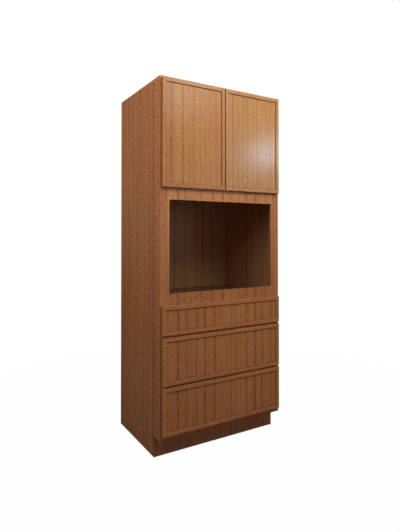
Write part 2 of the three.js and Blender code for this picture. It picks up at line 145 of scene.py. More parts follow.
cameraSet = {
    "place": (-1.4527, -2.5341, 1.2499),
    "turnRight": 0.5549,         # radians from straight at the front
    "tiltUp": 0.0111,
    "sensor": 36,
    "lens": 30.113,
    "shift": (-0.0275, -0.0678),
}


def addCamera(s):
    data = bpy.data.cameras.new("camera")
    data.sensor_width = s["sensor"]
    data.lens = s["lens"]
    data.shift_x, data.shift_y = s["shift"]
    camera = bpy.data.objects.new("camera", data)
    camera.location = s["place"]
    camera.rotation_euler = (math.pi / 2 + s["tiltUp"], 0, -s["turnRight"])
    bpy.context.scene.collection.objects.link(camera)
    bpy.context.scene.camera = camera


skyTint = (0.5, 0.8, 1.0)
ceilingTint = (0.86, 1.0, 0.93)
roomTint = (1.0, 0.92, 0.95)
lampSet = {
    "rightFront": {              # small, for the spot of gloss on the right door
        "place": (1.43, -1.71, 2.09), "aim": (0.2, -0.3, 1.6),
        "size": 0.16, "watts": 8.5, "tint": skyTint,
    },
    "highRight": {
        "place": (0.50, -1.85, 2.9), "aim": (0.1, -0.3, 1.5),
        "size": 1.0, "watts": 22, "tint": ceilingTint,
    },
    "highLeft": {
        "place": (-0.3, -1.75, 2.9), "aim": (0, -0.3, 1.5),
        "size": 1.0, "watts": 17.5, "tint": ceilingTint,
    },
    "front": {
        "place": (1.0, -2.9, 1.5), "aim": (0, -0.3, 1.1),
        "size": 1.2, "watts": 6.5, "tint": roomTint,
    },
    "lowFront": {
        "place": (-0.3, -2.6, 0.7), "aim": (0, -0.3, 1.1),
        "size": 1.0, "watts": 3.5, "tint": roomTint,
    },
    "leftSide": {
        "place": (-1.9, -0.55, 2.75), "aim": (-0.42, 0, 1.4),
        "size": 1.0, "watts": 23, "tint": (1, 1, 1),
    },
    "leftLow": {
        "place": (-2.3, 0.2, 1.7), "aim": (-0.42, 0, 0.9),
        "size": 1.0, "watts": 8.5, "tint": (1, 1, 1),
    },
    "behind": {
        "place": (0.9, 3.2, 2.3), "aim": (0, 0.3, 1.2),
        "size": 1.4, "watts": 45, "tint": (1, 1, 1),
    },
}


def addLamp(name, s):
    data = bpy.data.lights.new(name, "AREA")
    data.size = s["size"]
    data.energy = s["watts"]
    data.color = s["tint"]
    lamp = bpy.data.objects.new(name, data)
    lamp.location = s["place"]
    toAim = Vector(s["aim"]) - lamp.location
    lamp.rotation_euler = toAim.to_track_quat("-Z", "Y").to_euler()
    lamp.visible_camera = False
    bpy.context.scene.collection.objects.link(lamp)


def seenWhite(behind):  # 1 for the camera, and for what reflects the backdrop behind the cabinet
    kinds = ["Is Camera Ray", "Is Glossy Ray", "Is Transmission Ray"]
    camera, glossy, through = [
        behind.node("ShaderNodeLightPath", {}, {}, kind) for kind in kinds
    ]
    return behind.sum("MINIMUM", camera + glossy * behind + through, 1.0)


worldSet = {
    "fill": 0.10,
    "fromRight": (-0.05, 0.3),   # the directions in which gloss sees the backdrop
    "fromBack": (-0.1, 0.3),
}


def addWorld(s):
    world = bpy.data.worlds.new("studio")
    bpy.context.scene.world = world
    world.use_nodes = True
    back = world.node_tree.nodes["Background"]
    back.inputs["Color"].default_value = (1, 1, 1, 1)
    facing = Wire(world.node_tree).node("ShaderNodeTexCoord", {}, {}, "Generated")
    behind = facing.part("X").rise(*s["fromRight"]) * facing.part("Y").rise(*s["fromBack"])
    feed(back, "Strength", s["fill"] + (1 - s["fill"]) * seenWhite(behind))


floorSet = {
    "across": 40,
    "colour": (0.12, 0.11, 0.10, 1),
    "roughness": 0.9,
    "nearWhite": 0.985,          # the rest is left to the cabinet's shadow
    "fade": (0.8, 3.0),          # metres from the cabinet, out to pure white
    "fromRight": (0.0, 1.0),     # the places where gloss sees the floor white
    "fromBack": (0.5, 1.5),
}


def addFloor(s):
    bpy.ops.mesh.primitive_plane_add(size=s["across"])
    floor = bpy.context.object
    floor.name = "floor"
    finish, shader, place = newFinish("floor_pale")
    shader.inputs["Base Color"].default_value = s["colour"]
    shader.inputs["Roughness"].default_value = s["roughness"]
    shader.inputs["Specular IOR Level"].default_value = 0
    tree = finish.node_tree
    glow = place.node("ShaderNodeEmission", {}, {"Color": (1, 1, 1, 1), "Strength": 1.0})
    behind = place.part("X").rise(*s["fromRight"]) * place.part("Y").rise(*s["fromBack"])
    away = place.node("ShaderNodeVectorMath", {"operation": "LENGTH"}, {0: place}, "Value")
    white = s["nearWhite"] + (1 - s["nearWhite"]) * away.rise(*s["fade"])
    both = place.node("ShaderNodeMixShader", {}, {
        0: seenWhite(behind) * white,
        1: Wire(tree, shader.outputs[0]),
        2: glow,
    })
    feed(tree.nodes["Material Output"], "Surface", both)
    floor.data.materials.append(finish)


bpy.ops.object.select_all(action="DESELECT")
addCamera(cameraSet)
addFloor(floorSet)
addWorld(worldSet)
for lampName, lampSettings in lampSet.items():
    addLamp(lampName, lampSettings)
print("camera, floor and light done")


grainTurns = {"z": (0, 0, 0), "x": (0, math.pi / 2, 0), "y": (math.pi / 2, 0, 0)}
memberWidth = 0.022225           # stiles and rails of the doors and drawer fronts
insideFrom = cadBox[1][0] - 0.0125   # what is nearer the middle than this is inside
hair = 0.0001                    # metres, to tell a face from the ones beside it

stainSet = {
    "gold": (0.534, 0.204, 0.072, 1),
    "rose": (0.497, 0.179, 0.067, 1),
    "fleck": (0.200, 0.028, 0.006, 1),
    "dark": (0.120, 0.030, 0.021, 1),
    "edge": (0.150, 0.055, 0.018, 1),   # painted shade on the frames' edges, beside the gaps and round the panels
    "streaksPerMetre": 24,
    "streakDepth": 0.42,
    "lines": 0.11,
    "mottle": 0.30,
    "flecks": 0.33,
    "pores": 0.20,
    "recessShade": 0.30,            # painted shade along the edges of a recessed panel
    "roughness": 0.24,
    "specular": 0.21,
}

sideSet = {                      # the veneered side panels, more broadly figured, and browner, partly their own tone and partly painted sheen
    **stainSet,
    "gold": (0.522, 0.220, 0.082, 1),
    "rose": (0.479, 0.193, 0.074, 1),
    # painted light and shade: paler copies of the stain for the faces within the cabinet
    "insideGold": (0.600, 0.320, 0.155, 1),
    "insideRose": (0.550, 0.284, 0.136, 1),
    "lines": 0.18,
    "mottle": 0.40,
    "flecks": 0.38,
}

leftDoorSet = {                  # the doors are cut from paler boards than the drawer fronts
    **stainSet,
    "gold": (0.540, 0.221, 0.073, 1),
    "rose": (0.503, 0.196, 0.067, 1),
    "lines": 0.08,
}

# painted sheen: the right door's paler colour stands in for the soft gloss across its upper part
rightDoorSet = {
    **leftDoorSet,
    "gold": (0.592, 0.268, 0.094, 1),
    "rose": (0.550, 0.239, 0.088, 1),
}

shadedInsideSet = {                    # plywood within the carcass, painted darker and duller than the faces: painted shade inside the carcass
    **stainSet,
    "gold": (0.380, 0.198, 0.090, 1),
    "rose": (0.352, 0.178, 0.080, 1),
}

shadedDeckSet = {                      # the board that the oven stands on, painted near black: painted shade inside the oven bay
    **stainSet,
    "gold": (0.160, 0.062, 0.020, 1),
    "rose": (0.147, 0.056, 0.019, 1),
    "specular": 0.05,
}

faceSet = {                      # the sheet round the oven, painted paler towards its top and darker at its foot: painted light and shade
    **stainSet,
    "gold": (0.668, 0.245, 0.079, 1),
    "rose": (0.432, 0.162, 0.063, 1),
    "palerUp": (0.90, 1.50),     # heights between which it changes
    "palerShare": 0.75,          # of its tone that follows the height
}

toeSet = {
    **stainSet,
    "gold": (0.502, 0.226, 0.098, 1),
    "rose": (0.467, 0.198, 0.091, 1),
}

birchSet = {
    "gold": (0.680, 0.500, 0.290, 1),
    "rose": (0.620, 0.430, 0.250, 1),
    "fleck": (0.420, 0.240, 0.110, 1),
    "dark": (0.400, 0.240, 0.120, 1),
    "edge": (0.480, 0.310, 0.165, 1),   # end grain
    "streaksPerMetre": 26,
    "streakDepth": 0.22,
    "lines": 0.10,
    "mottle": 0.06,
    "flecks": 0.12,
    "pores": 0.16,
    "recessShade": 0.0,
    "roughness": 0.42,
    "specular": 0.30,
}


layerSet = {  # each noise's stretch along the board's axes, its detail and the range used
    "tone": ((4.5, 4.5, 0.8), 3, (0.35, 0.65)),
    "lines": ((75, 75, 0.9), 1, (0.46, 0.68)),
    "mottle": ((125, 125, 120), 1, (0.38, 0.66)),
    "flecks": ((300, 300, 80), 1, (0.48, 0.70)),
    "pores": ((900, 900, 45), 2, (0.58, 0.72)),
    "dashes": ((60, 60, 60), 2, (0.35, 0.60)),   # these two break the streaks up
    "gaps": ((9, 9, 2.5), 2, (0.10, 0.45)),
}
streakSet = {
    "depths": {"strong": 0.92, "clear": 0.64, "faint": 0.38},
    "sharpness": 6,
    "margin": 0.04,              # from the outer streaks to where the figure ends
    "wander": 0.009,
    "wanderStretch": (1.6, 1.6, 0.9),
    "randomness": 0.8,           # of the streaks that no list places
    "halfWidth": 0.12,
    "palest": 0.2,
    "leastDash": 0.5,
}
# how the stain takes, and the painted shade on the frames and round their panels
dyeAndShadeSet = {
    "most": 0.92,                # so that some wood shows through flecks and streaks
    # painted shade on the frames: how dark their ends, lower edges and inner edges are painted
    "outerEdgeShade": 0.2,
    "lowerEdgeShade": 0.75,
    "endGrain": 0.75,
    "recessShadeFrom": (-0.008, -0.0005),   # painted shade, in metres from the frame, on a recessed panel
    "roughnessSwing": 0.2,
    "fleckHeight": 0.3,
    "relief": {"Strength": 0.25, "Distance": 0.0003},
}
memberShift = (2.7, 3.1)         # between the noise of a frame's opposite stiles, and rails


def turned(place, grain, shift):  # the board's own axes, with Z along its grain
    values = {"Vector": place, "Location": shift, "Rotation": grainTurns[grain]}
    return place.node("ShaderNodeMapping", {}, values)


def layer(board, name, top=1.0):
    stretch, detail, span = layerSet[name]
    return board.noise(stretch, detail).rise(*span, top)


def capped(wire, most):
    return wire.sum("MINIMUM", wire, most)


def placedFigure(across, streaks, s):  # dark streaks at known places across the board
    lines = sorted((at, s["depths"][kind]) for kind, places in streaks.items() for at in places)
    low, high = lines[0][0] - s["margin"], lines[-1][0] + s["margin"]
    peaks = [((at - low) / (high - low), depth ** (1 / s["sharpness"])) for at, depth in lines]
    troughs = [((a[0] + b[0]) / 2, 0.0) for a, b in zip(peaks, peaks[1:])]
    stops = sorted([(0.0, 0.0), *peaks, *troughs, (1.0, 0.0)])
    limits = {"Value": across, "From Min": low, "From Max": high}
    share = across.node("ShaderNodeMapRange", {}, limits)
    crest = share.node("ShaderNodeValToRGB", {"stops": stops}, {"Fac": share})
    return crest.sum("POWER", crest, s["sharpness"])


def randomFigure(across, look, s):
    cells = {"W": across, "Scale": look["streaksPerMetre"], "Randomness": s["randomness"]}
    line = across.node("ShaderNodeTexVoronoi", {"voronoi_dimensions": "1D"}, cells, "Distance")
    each = across.node("ShaderNodeTexVoronoi", {"voronoi_dimensions": "1D"}, cells, "Color")
    depth = each.part("X") * (1 - s["palest"]) + s["palest"]
    return (1 - line.rise(0.0, s["halfWidth"])) * depth * look["streakDepth"]


def streakMask(place, board, look, streaks, streakAxis, s):
    wander = (board.noise(s["wanderStretch"], 2) - 0.5) * s["wander"]
    if streaks:
        streak = placedFigure(place.part(streakAxis) + wander, streaks, s)
    else:
        streak = randomFigure(board.part("X") + board.part("Y") + wander, look, s)
    dashes = layer(board, "dashes", 1 - s["leastDash"]) + s["leastDash"]
    return streak * dashes * layer(board, "gaps")


def woodFinish(name, look, grain, shift, outline=None, streaks=None, streakAxis="X", ends=None):
    finish, shader, place = newFinish(name)
    board = turned(place, grain, shift)
    inFrame = outline and name.endswith("frame_stained")
    if outline:
        x, z = place.part("X") - outline["middleX"], place.part("Z") - outline["middleZ"]
        overX, overZ = abs(x) - outline["halfWidth"], abs(z) - outline["halfHeight"]
    if inFrame:  # stiles and rails glued up in one frame, each with its own grain
        offset = {"X": (x > 0.0) * memberShift[0], "Z": (z > 0.0) * memberShift[1]}
        offset = place.node("ShaderNodeCombineXYZ", {}, offset)
        spread = place.node("ShaderNodeVectorMath", {"operation": "ADD"}, {0: place, 1: offset})
        inRail = overX < -memberWidth
        board = inRail.choose(turned(spread, "z", shift), turned(spread, "x", shift))

    streak = streakMask(place, board, look, streaks, streakAxis, streakSet)
    mottle = layer(board, "mottle", look["mottle"])
    flecks = layer(board, "flecks", look["flecks"])
    pores = layer(board, "pores", look["pores"])
    shade = mottle + flecks + pores + layer(board, "lines", look["lines"])
    if outline and not inFrame:  # painted shade round a recessed panel, where its frame shades it
        nearest = overX.sum("MAXIMUM", overX, overZ) + memberWidth
        shade = shade + nearest.rise(*dyeAndShadeSet["recessShadeFrom"], look["recessShade"])

    tone = layer(board, "tone")
    # painted light: its tone follows the height, paler towards the top
    if "palerUp" in look:
        paler, share = place.part("Z").rise(*look["palerUp"]), look["palerShare"]
        tone = tone * (1 - share) + (1 - paler) * share
    colour = tone.mix(look["gold"], look["rose"])
    if "insideGold" in look:  # painted light and shade: a side panel's face within the cabinet gets a paler copy of the stain, set for the light there
        inside = abs(place.part("X")) < insideFrom
        colour = inside.mix(colour, tone.mix(look["insideGold"], look["insideRose"]))
    colour = capped(shade, dyeAndShadeSet["most"]).mix(colour, look["fleck"])
    colour = capped(streak, dyeAndShadeSet["most"]).mix(colour, look["dark"])
    if inFrame:  # painted shade: its ends a little, its lower edge and the edges round its panel more
        lower = z < hair - outline["halfHeight"]
        inner = (abs(overX + memberWidth) < 2 * hair) + (abs(overZ + memberWidth) < 2 * hair)
        edgeShade = (overX > -hair) * dyeAndShadeSet["outerEdgeShade"] + (lower + inner) * dyeAndShadeSet["lowerEdgeShade"]
        colour = capped(edgeShade, dyeAndShadeSet["lowerEdgeShade"]).mix(colour, look["edge"])
    if ends:  # end grain, on the faces that cut across the board
        cut = abs(place.part(ends["axis"]) - ends["middle"]) > ends["half"] - 4 * hair
        colour = (cut * dyeAndShadeSet["endGrain"]).mix(colour, look["edge"])

    feed(shader, "Base Color", colour)
    roughness = look["roughness"] + (mottle + pores) * dyeAndShadeSet["roughnessSwing"]
    feed(shader, "Roughness", roughness)
    height = (1 - pores) + flecks * dyeAndShadeSet["fleckHeight"]
    relief = {**dyeAndShadeSet["relief"], "Height": height}
    feed(shader, "Normal", height.node("ShaderNodeBump", {}, relief))
    shader.inputs["Specular IOR Level"].default_value = look["specular"]
    return finish


# the grain's direction in each stained board, and where the board is cut from the noise
boardSet = {
    "left_side_panel": ("z", (0.31, 1.20, 0.40)),
    "right_side_panel": ("z", (1.73, 0.45, 2.10)),
    "bottom_panel": ("x", (0.52, 2.90, 1.10)),
    "oven_shelf": ("x", (3.14, 0.72, 0.20)),
    "cupboard_floor": ("x", (2.26, 1.94, 2.80)),
    "top_panel": ("x", (4.40, 0.31, 1.70)),
    "back_panel": ("z", (2.95, 3.30, 0.90)),
    "toe_kick_board": ("z", (1.15, 2.20, 3.60)),
    "left_stile": ("z", (3.67, 1.81, 1.30)),
    "right_stile": ("z", (0.88, 2.47, 2.60)),
    "bottom_rail": ("x", (2.74, 0.63, 0.50)),
    "lower_drawer_rail": ("x", (1.42, 3.75, 2.30)),
    "upper_drawer_rail": ("x", (3.93, 1.27, 1.90)),
    "top_rail": ("x", (0.19, 4.11, 3.20)),
    "oven_face_panel": ("z", (2.08, 0.97, 1.60)),
    "left_door_panel": ("z", (1.36, 2.62, 0.70)),
    "right_door_panel": ("z", (3.51, 0.14, 3.90)),
    "bottom_drawer_front_panel": ("z", (0.67, 3.08, 2.40)),
    "middle_drawer_front_panel": ("z", (2.43, 1.55, 1.20)),
    "top_drawer_front_panel": ("z", (4.12, 2.01, 0.30)),
    "left_door_frame": ("z", (1.91, 0.82, 2.20)),
    "right_door_frame": ("z", (0.44, 2.35, 1.50)),
    "bottom_drawer_front_frame": ("z", (3.25, 1.13, 0.60)),
    "middle_drawer_front_frame": ("z", (1.02, 3.41, 3.00)),
    "top_drawer_front_frame": ("z", (2.61, 0.26, 1.80)),
}

drawerFigure = {  # the three drawer panels are cut from one board
    "strong": [-0.310, -0.140, -0.070, 0.155, 0.225],
    "clear": [-0.260, -0.195, 0.045, 0.075, 0.275],
    "faint": [-0.030, 0.010, 0.115, 0.345],
}
figureSet = {  # where the dark streaks run on the boards that show most, in metres
    "left_door_panel": {
        "clear": [-0.355, -0.280],
        "faint": [-0.245, -0.210, -0.170, -0.135, -0.105, -0.065],
    },
    "right_door_panel": {
        "clear": [0.060],
        "faint": [0.095, 0.130, 0.170, 0.205, 0.240, 0.275, 0.345],
    },
    "oven_face_panel": {
        "strong": [-0.305, -0.080, -0.005, 0.165, 0.240],
        "clear": [-0.155, -0.265],
        "faint": [-0.225, -0.190, -0.115, 0.045, 0.115, 0.275, 0.315],
    },
    "left_side_panel": {
        "strong": [-0.205],
        "clear": [-0.070, -0.015, 0.185, 0.250],
        "faint": [-0.140, 0.045, 0.115],
    },
    "back_panel": {
        "strong": [-0.190, 0.200],
        "clear": [-0.285, -0.030],
        "faint": [-0.225, -0.110, 0.060, 0.150, 0.275],
    },
    "bottom_drawer_front_panel": drawerFigure,
    "middle_drawer_front_panel": drawerFigure,
    "top_drawer_front_panel": drawerFigure,
}

lookSet = {  # the other boards have the look of stainSet
    "left_side_panel": sideSet,
    "right_side_panel": sideSet,
    "back_panel": shadedInsideSet,
    "oven_shelf": shadedDeckSet,
    "toe_kick_board": toeSet,
    "oven_face_panel": faceSet,
    "left_door_frame": leftDoorSet,
    "left_door_panel": leftDoorSet,
    "right_door_frame": rightDoorSet,
    "right_door_panel": rightDoorSet,
}


def frontOutline(name):  # middle and half sizes of a door or drawer front
    low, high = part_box(name)
    return {
        "middleX": (low[0] + high[0]) / 2,
        "middleZ": (low[2] + high[2]) / 2,
        "halfWidth": (high[0] - low[0]) / 2,
        "halfHeight": (high[2] - low[2]) / 2,
    }


def paintNode(name, finish):
    cadNode = nodes[name]
    cadNode.data.materials.clear()
    cadNode.data.materials.append(finish)


for name, (grain, shift) in boardSet.items():
    isFront = "_door_" in name or "_drawer_front_" in name
    outline = frontOutline(name.replace("_panel", "_frame")) if isFront else None
    streakAxis = "Y" if "side" in name else "X"
    paintNode(name, woodFinish(
        name + "_stained", lookSet.get(name, stainSet), grain, shift,
        outline, figureSet.get(name), streakAxis))
print("stained wood done")


# the drawer boxes, where the dovetails show their end grain
drawers = ["bottom_drawer", "middle_drawer", "top_drawer"]
boxBoardSet = {  # the grain's direction, and the axis across which the board was cut
    "box_left_side": ("y", "Y"),
    "box_right_side": ("y", "Y"),
    "box_front": ("x", "X"),
    "box_back": ("x", "X"),
    "box_bottom": ("x", None),
}
boxShift = {"first": (1.9, 0.7), "step": 1.37}   # where the boards are cut from the noise


def boardEnds(low, high, axis):
    index = "XYZ".index(axis)
    return {
        "axis": axis,
        "middle": (low[index] + high[index]) / 2,
        "half": (high[index] - low[index]) / 2,
    }


for number, drawer in enumerate(drawers):
    step = number * boxShift["step"]
    firstY, firstZ = boxShift["first"]
    for board, (grain, axis) in boxBoardSet.items():
        name = f"{drawer}_{board}"
        low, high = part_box(name)
        ends = boardEnds(low, high, axis) if axis else None
        shift = (step + low[0], firstY - step + high[1], firstZ + step)
        paintNode(name, woodFinish(name + "_birch", birchSet, grain, shift, ends=ends))
print("birch boxes done")


steelSet = {
    "cloudStretch": (35, 35, 35),
    "cloudSpan": (0.35, 0.7),
    "clouds": 0.6,
    "marks": 0.3,
    "roughnessSwing": 0.08,
    "relief": {"Strength": 0.15, "Distance": 0.0001},
}
zincSet = {
    **steelSet,
    "bright": (0.72, 0.73, 0.75, 1),
    "dull": (0.52, 0.54, 0.57, 1),
    "roughness": 0.30,
    "markStretch": (900, 12, 900),     # rolled, along the runners
}
nickelSet = {
    **steelSet,
    "bright": (0.80, 0.78, 0.74, 1),
    "dull": (0.60, 0.58, 0.55, 1),
    "roughness": 0.16,
    "markStretch": (500, 500, 60),
}


def steelFinish(name, look):
    finish, shader, place = newFinish(name)
    cloud = place.noise(look["cloudStretch"], 3).rise(*look["cloudSpan"])
    marks = place.noise(look["markStretch"], 2)
    shade = cloud * look["clouds"] + marks * look["marks"]
    feed(shader, "Base Color", shade.mix(look["bright"], look["dull"]))
    swing = look["roughnessSwing"]
    feed(shader, "Roughness", look["roughness"] + cloud * swing + marks * swing)
    relief = {**look["relief"], "Height": marks}
    feed(shader, "Normal", marks.node("ShaderNodeBump", {}, relief))
    shader.inputs["Metallic"].default_value = 1.0
    return finish


finishes = {
    "zinc_steel": steelFinish("zinc_rolled", zincSet),
    "nickel_steel": steelFinish("nickel_plated", nickelSet),
}
for name in nodes:
    if "hinge" in name:
        paintNode(name, finishes["nickel_steel"])
    elif name.endswith(("_track", "_left_rail", "_right_rail")):
        paintNode(name, finishes["zinc_steel"])
print("runners and hinges done")


facing = 0.9                     # a normal's least share along the axis that its face looks to


def pick(piece, wanted):  # in edit mode, selects the faces that wanted(centre, normal) accepts
    bpy.ops.object.mode_set(mode="EDIT")
    bpy.ops.mesh.select_mode(type="FACE")
    bpy.ops.mesh.select_all(action="DESELECT")
    bpy.ops.object.mode_set(mode="OBJECT")
    for face in piece.data.polygons:
        face.select = wanted(face.center, face.normal)
    bpy.ops.object.mode_set(mode="EDIT")


def pull(by, scale=None):  # extrude what is selected, and scale its far end about the origin
    bpy.ops.mesh.extrude_region_move(TRANSFORM_OT_translate={"value": by})
    if scale:
        bpy.ops.transform.resize(value=scale, center_override=(0, 0, 0))


def applyPlace():  # to what is selected
    bpy.ops.object.transform_apply(location=True, rotation=True, scale=True)


def modify(piece, kind, settings):
    modifier = piece.modifiers.new(kind.lower(), kind)
    for key, value in settings.items():
        setattr(modifier, key, value)
    bpy.ops.object.modifier_apply(modifier=modifier.name)


def smooth(degrees):
    bpy.ops.object.shade_smooth_by_angle(angle=math.radians(degrees))


def copyPiece(piece, name, body, place, turn=(0, 0, 0)):  # turned, and then moved
    bpy.ops.object.select_all(action="DESELECT")
    twin = piece.copy()
    twin.data = piece.data.copy()
    bpy.context.scene.collection.objects.link(twin)
    twin.name = name
    twin.data.name = name
    twin.rotation_euler = turn
    twin.location = place
    twin.select_set(True)
    bpy.context.view_layer.objects.active = twin
    applyPlace()
    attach(twin, body)
    return twin


def nearFace(name, sign):  # x of the side of a node that faces the cabinet's middle
    low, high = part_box(name)
    return low[0] if sign > 0 else high[0]


sides = [("left", -1), ("right", 1)]   # with the sign of its x


# the cupboard's loose shelf, with a solid lipping along its front
shelfSet = {
    "halfWidth": 0.4049,
    "front": -0.2549,
    "back": 0.3007,
    "low": 1.8273,               # on the pegs of its pins
    "thickness": 0.018,
    "lipping": 0.008,
    "eased": 0.0012,
    "smoothTo": 40,              # degrees, like every smoothTo
    "grain": ("x", (1.61, 2.02, 4.30)),
}


def addShelf(s):
    bpy.ops.object.select_all(action="DESELECT")
    front = s["front"] + s["lipping"]
    middle = (0, (front + s["back"]) / 2, s["low"] + s["thickness"] / 2)
    size = (2 * s["halfWidth"], s["back"] - front, s["thickness"])
    bpy.ops.mesh.primitive_cube_add(size=1, location=middle, scale=size)
    shelf = bpy.context.object
    applyPlace()
    pick(shelf, lambda centre, normal: normal.y < -facing)
    pull((0, -s["lipping"], 0))
    bpy.ops.object.mode_set(mode="OBJECT")
    modify(shelf, "BEVEL", {"width": s["eased"], "segments": 2, "limit_method": "ANGLE"})
    smooth(s["smoothTo"])
    shelf.name = "cupboard_shelf"
    shelf.data.name = "cupboard_shelf"
    shelf.data.materials.clear()
    shelf.data.materials.append(woodFinish("cupboard_shelf_stained", stainSet, *s["grain"]))
    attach(shelf, "cabinet")


addShelf(shelfSet)
print("shelf done")


# shelf pins, turned from steel rod: a shank in the hole, a collar and a peg under the shelf
pinSet = {
    "setback": 0.060,            # from the front of the side panels and from the back panel
    "height": 1.8248,
    "shank": 0.0023,
    "shankLength": 0.0070,
    "collar": 0.0040,
    "collarLength": 0.0012,
    "collarEnd": (0.2, 0.93),    # share of its length, and scale, where its edge is eased
    "peg": 0.0025,
    "pegLength": 0.0065,
    "pegEnd": [(0.10, 0.86), (0.05, 0.75)],   # the same for its two rings
    "vertices": 24,
    "smoothTo": 30,
}


def addPins(s):
    bpy.ops.object.select_all(action="DESELECT")
    middle = (-s["shankLength"] / 2, 0, 0)
    bpy.ops.mesh.primitive_cylinder_add(
        vertices=s["vertices"], radius=s["shank"], depth=s["shankLength"],
        location=middle, rotation=(0, math.pi / 2, 0))
    pin = bpy.context.object
    applyPlace()
    easedShare, eased = s["collarEnd"]
    toCollar, toPeg = s["collar"] / s["shank"], s["peg"] / s["collar"] / eased
    straight = 1 - sum(share for share, scale in s["pegEnd"])
    pick(pin, lambda centre, normal: normal.x > facing)
    pull((0, 0, 0), (1, toCollar, toCollar))
    pull((s["collarLength"] * (1 - easedShare), 0, 0))
    pull((s["collarLength"] * easedShare, 0, 0), (1, eased, eased))
    pull((0, 0, 0), (1, toPeg, toPeg))
    pull((s["pegLength"] * straight, 0, 0))
    for share, scale in s["pegEnd"]:
        pull((s["pegLength"] * share, 0, 0), (1, scale, scale))
    bpy.ops.object.mode_set(mode="OBJECT")
    pin.data.materials.append(finishes["nickel_steel"])
    smooth(s["smoothTo"])
    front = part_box("left_side_panel")[0][1] + s["setback"]
    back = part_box("back_panel")[0][1] - s["setback"]
    for side, sign in sides:
        x = nearFace(side + "_side_panel", sign)
        turn = (0, 0, 0) if sign < 0 else (0, 0, math.pi)
        for end, y in [("front", front), ("back", back)]:
            name = f"shelf_pin_{side}_{end}"
            copyPiece(pin, name, "cabinet", (x, y, s["height"]), turn)
    bpy.data.objects.remove(pin)


addPins(pinSet)
print("shelf pins done")


# clear rubber bumpers, on the backs of the doors and drawer fronts
bumperSet = {
    "radius": 0.0040,
    "rim": 0.0009,
    "crown": [(0.0005, 0.93), (0.0003, 0.80), (0.0002, 0.55)],   # rise and scale of each ring
    "vertices": 24,
    "smoothTo": 50,
    "doorX": 0.018,              # from the cabinet's middle
    "doorHeights": {"lower": 1.52235, "upper": 2.106},
    "drawerX": 0.392,
    "drawerInset": 0.020,        # from the front's lower and upper edges
    "colour": (0.74, 0.73, 0.69, 1),
    "dust": (0.60, 0.58, 0.53, 1),
    "dustStretch": (420, 420, 420),
    "dustSpan": (0.40, 0.75),
    "roughness": 0.35,
    "dustRoughness": 0.3,
    "relief": {"Strength": 0.1, "Distance": 0.0001},
}


def rubberFinish(s):
    finish, shader, place = newFinish("bumper_clear_rubber")
    dust = place.noise(s["dustStretch"], 3).rise(*s["dustSpan"])
    feed(shader, "Base Color", dust.mix(s["colour"], s["dust"]))
    feed(shader, "Roughness", s["roughness"] + dust * s["dustRoughness"])
    relief = {**s["relief"], "Height": dust}
    feed(shader, "Normal", dust.node("ShaderNodeBump", {}, relief))
    return finish


def bumperPlaces(s):  # name, body, x and z of each
    places = []
    for side, sign in sides:
        for level, height in s["doorHeights"].items():
            door = side + "_door"
            places.append((f"{door}_bumper_{level}", door, sign * s["doorX"], height))
        for drawer in drawers:
            low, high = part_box(drawer + "_front_frame")
            heights = {"lower": low[2] + s["drawerInset"], "upper": high[2] - s["drawerInset"]}
            if drawer == "top_drawer":  # the face panel's edge leaves no room for a lower one
                del heights["lower"]
            for level, height in heights.items():
                name = f"{drawer}_bumper_{side}_{level}"
                places.append((name, drawer, sign * s["drawerX"], height))
    return places


def addBumpers(s):
    bpy.ops.object.select_all(action="DESELECT")
    bpy.ops.mesh.primitive_cylinder_add(
        vertices=s["vertices"], radius=s["radius"], depth=s["rim"],
        location=(0, s["rim"] / 2, 0), rotation=(math.pi / 2, 0, 0))
    bumper = bpy.context.object
    applyPlace()
    pick(bumper, lambda centre, normal: normal.y > facing)
    for step, scale in s["crown"]:
        pull((0, step, 0), (scale, 1, scale))
    bpy.ops.object.mode_set(mode="OBJECT")
    bumper.data.materials.append(rubberFinish(s))
    smooth(s["smoothTo"])
    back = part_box("left_door_frame")[1][1]
    for name, body, x, z in bumperPlaces(s):
        copyPiece(bumper, name, body, (x, back, z))
    bpy.data.objects.remove(bumper)


addBumpers(bumperSet)
print("bumpers done")


# cross-head screws, modelled with the head towards +Y and standing on Y = 0
screwSet = {
    "tipLength": 0.2,            # share of the shank
    "tipScale": 0.15,
    "armWidth": 0.42,            # of the recess, as a share of half the cross
    "vertices": 28,
    "smoothTo": 30,
}
panScrewSet = {
    **screwSet,
    "headRadius": 0.0034,
    "rim": 0.0008,
    "crown": [(0.0006, 0.88), (0.0004, 0.72), (0.0001, 0.80)],
    "recessHalf": 0.0015,
    "recessDepth": 0.0012,
    "shankRadius": 0.0017,
    "shankLength": 0.010,
}
flatScrewSet = {
    **screwSet,
    "headRadius": 0.0033,
    "rim": 0.00012,
    "crown": [(0.00010, 0.90), (0.00006, 0.72), (0.00002, 0.80)],
    "recessHalf": 0.0013,
    "recessDepth": 0.0010,
    "shankRadius": 0.0016,
    "shankLength": 0.009,
}


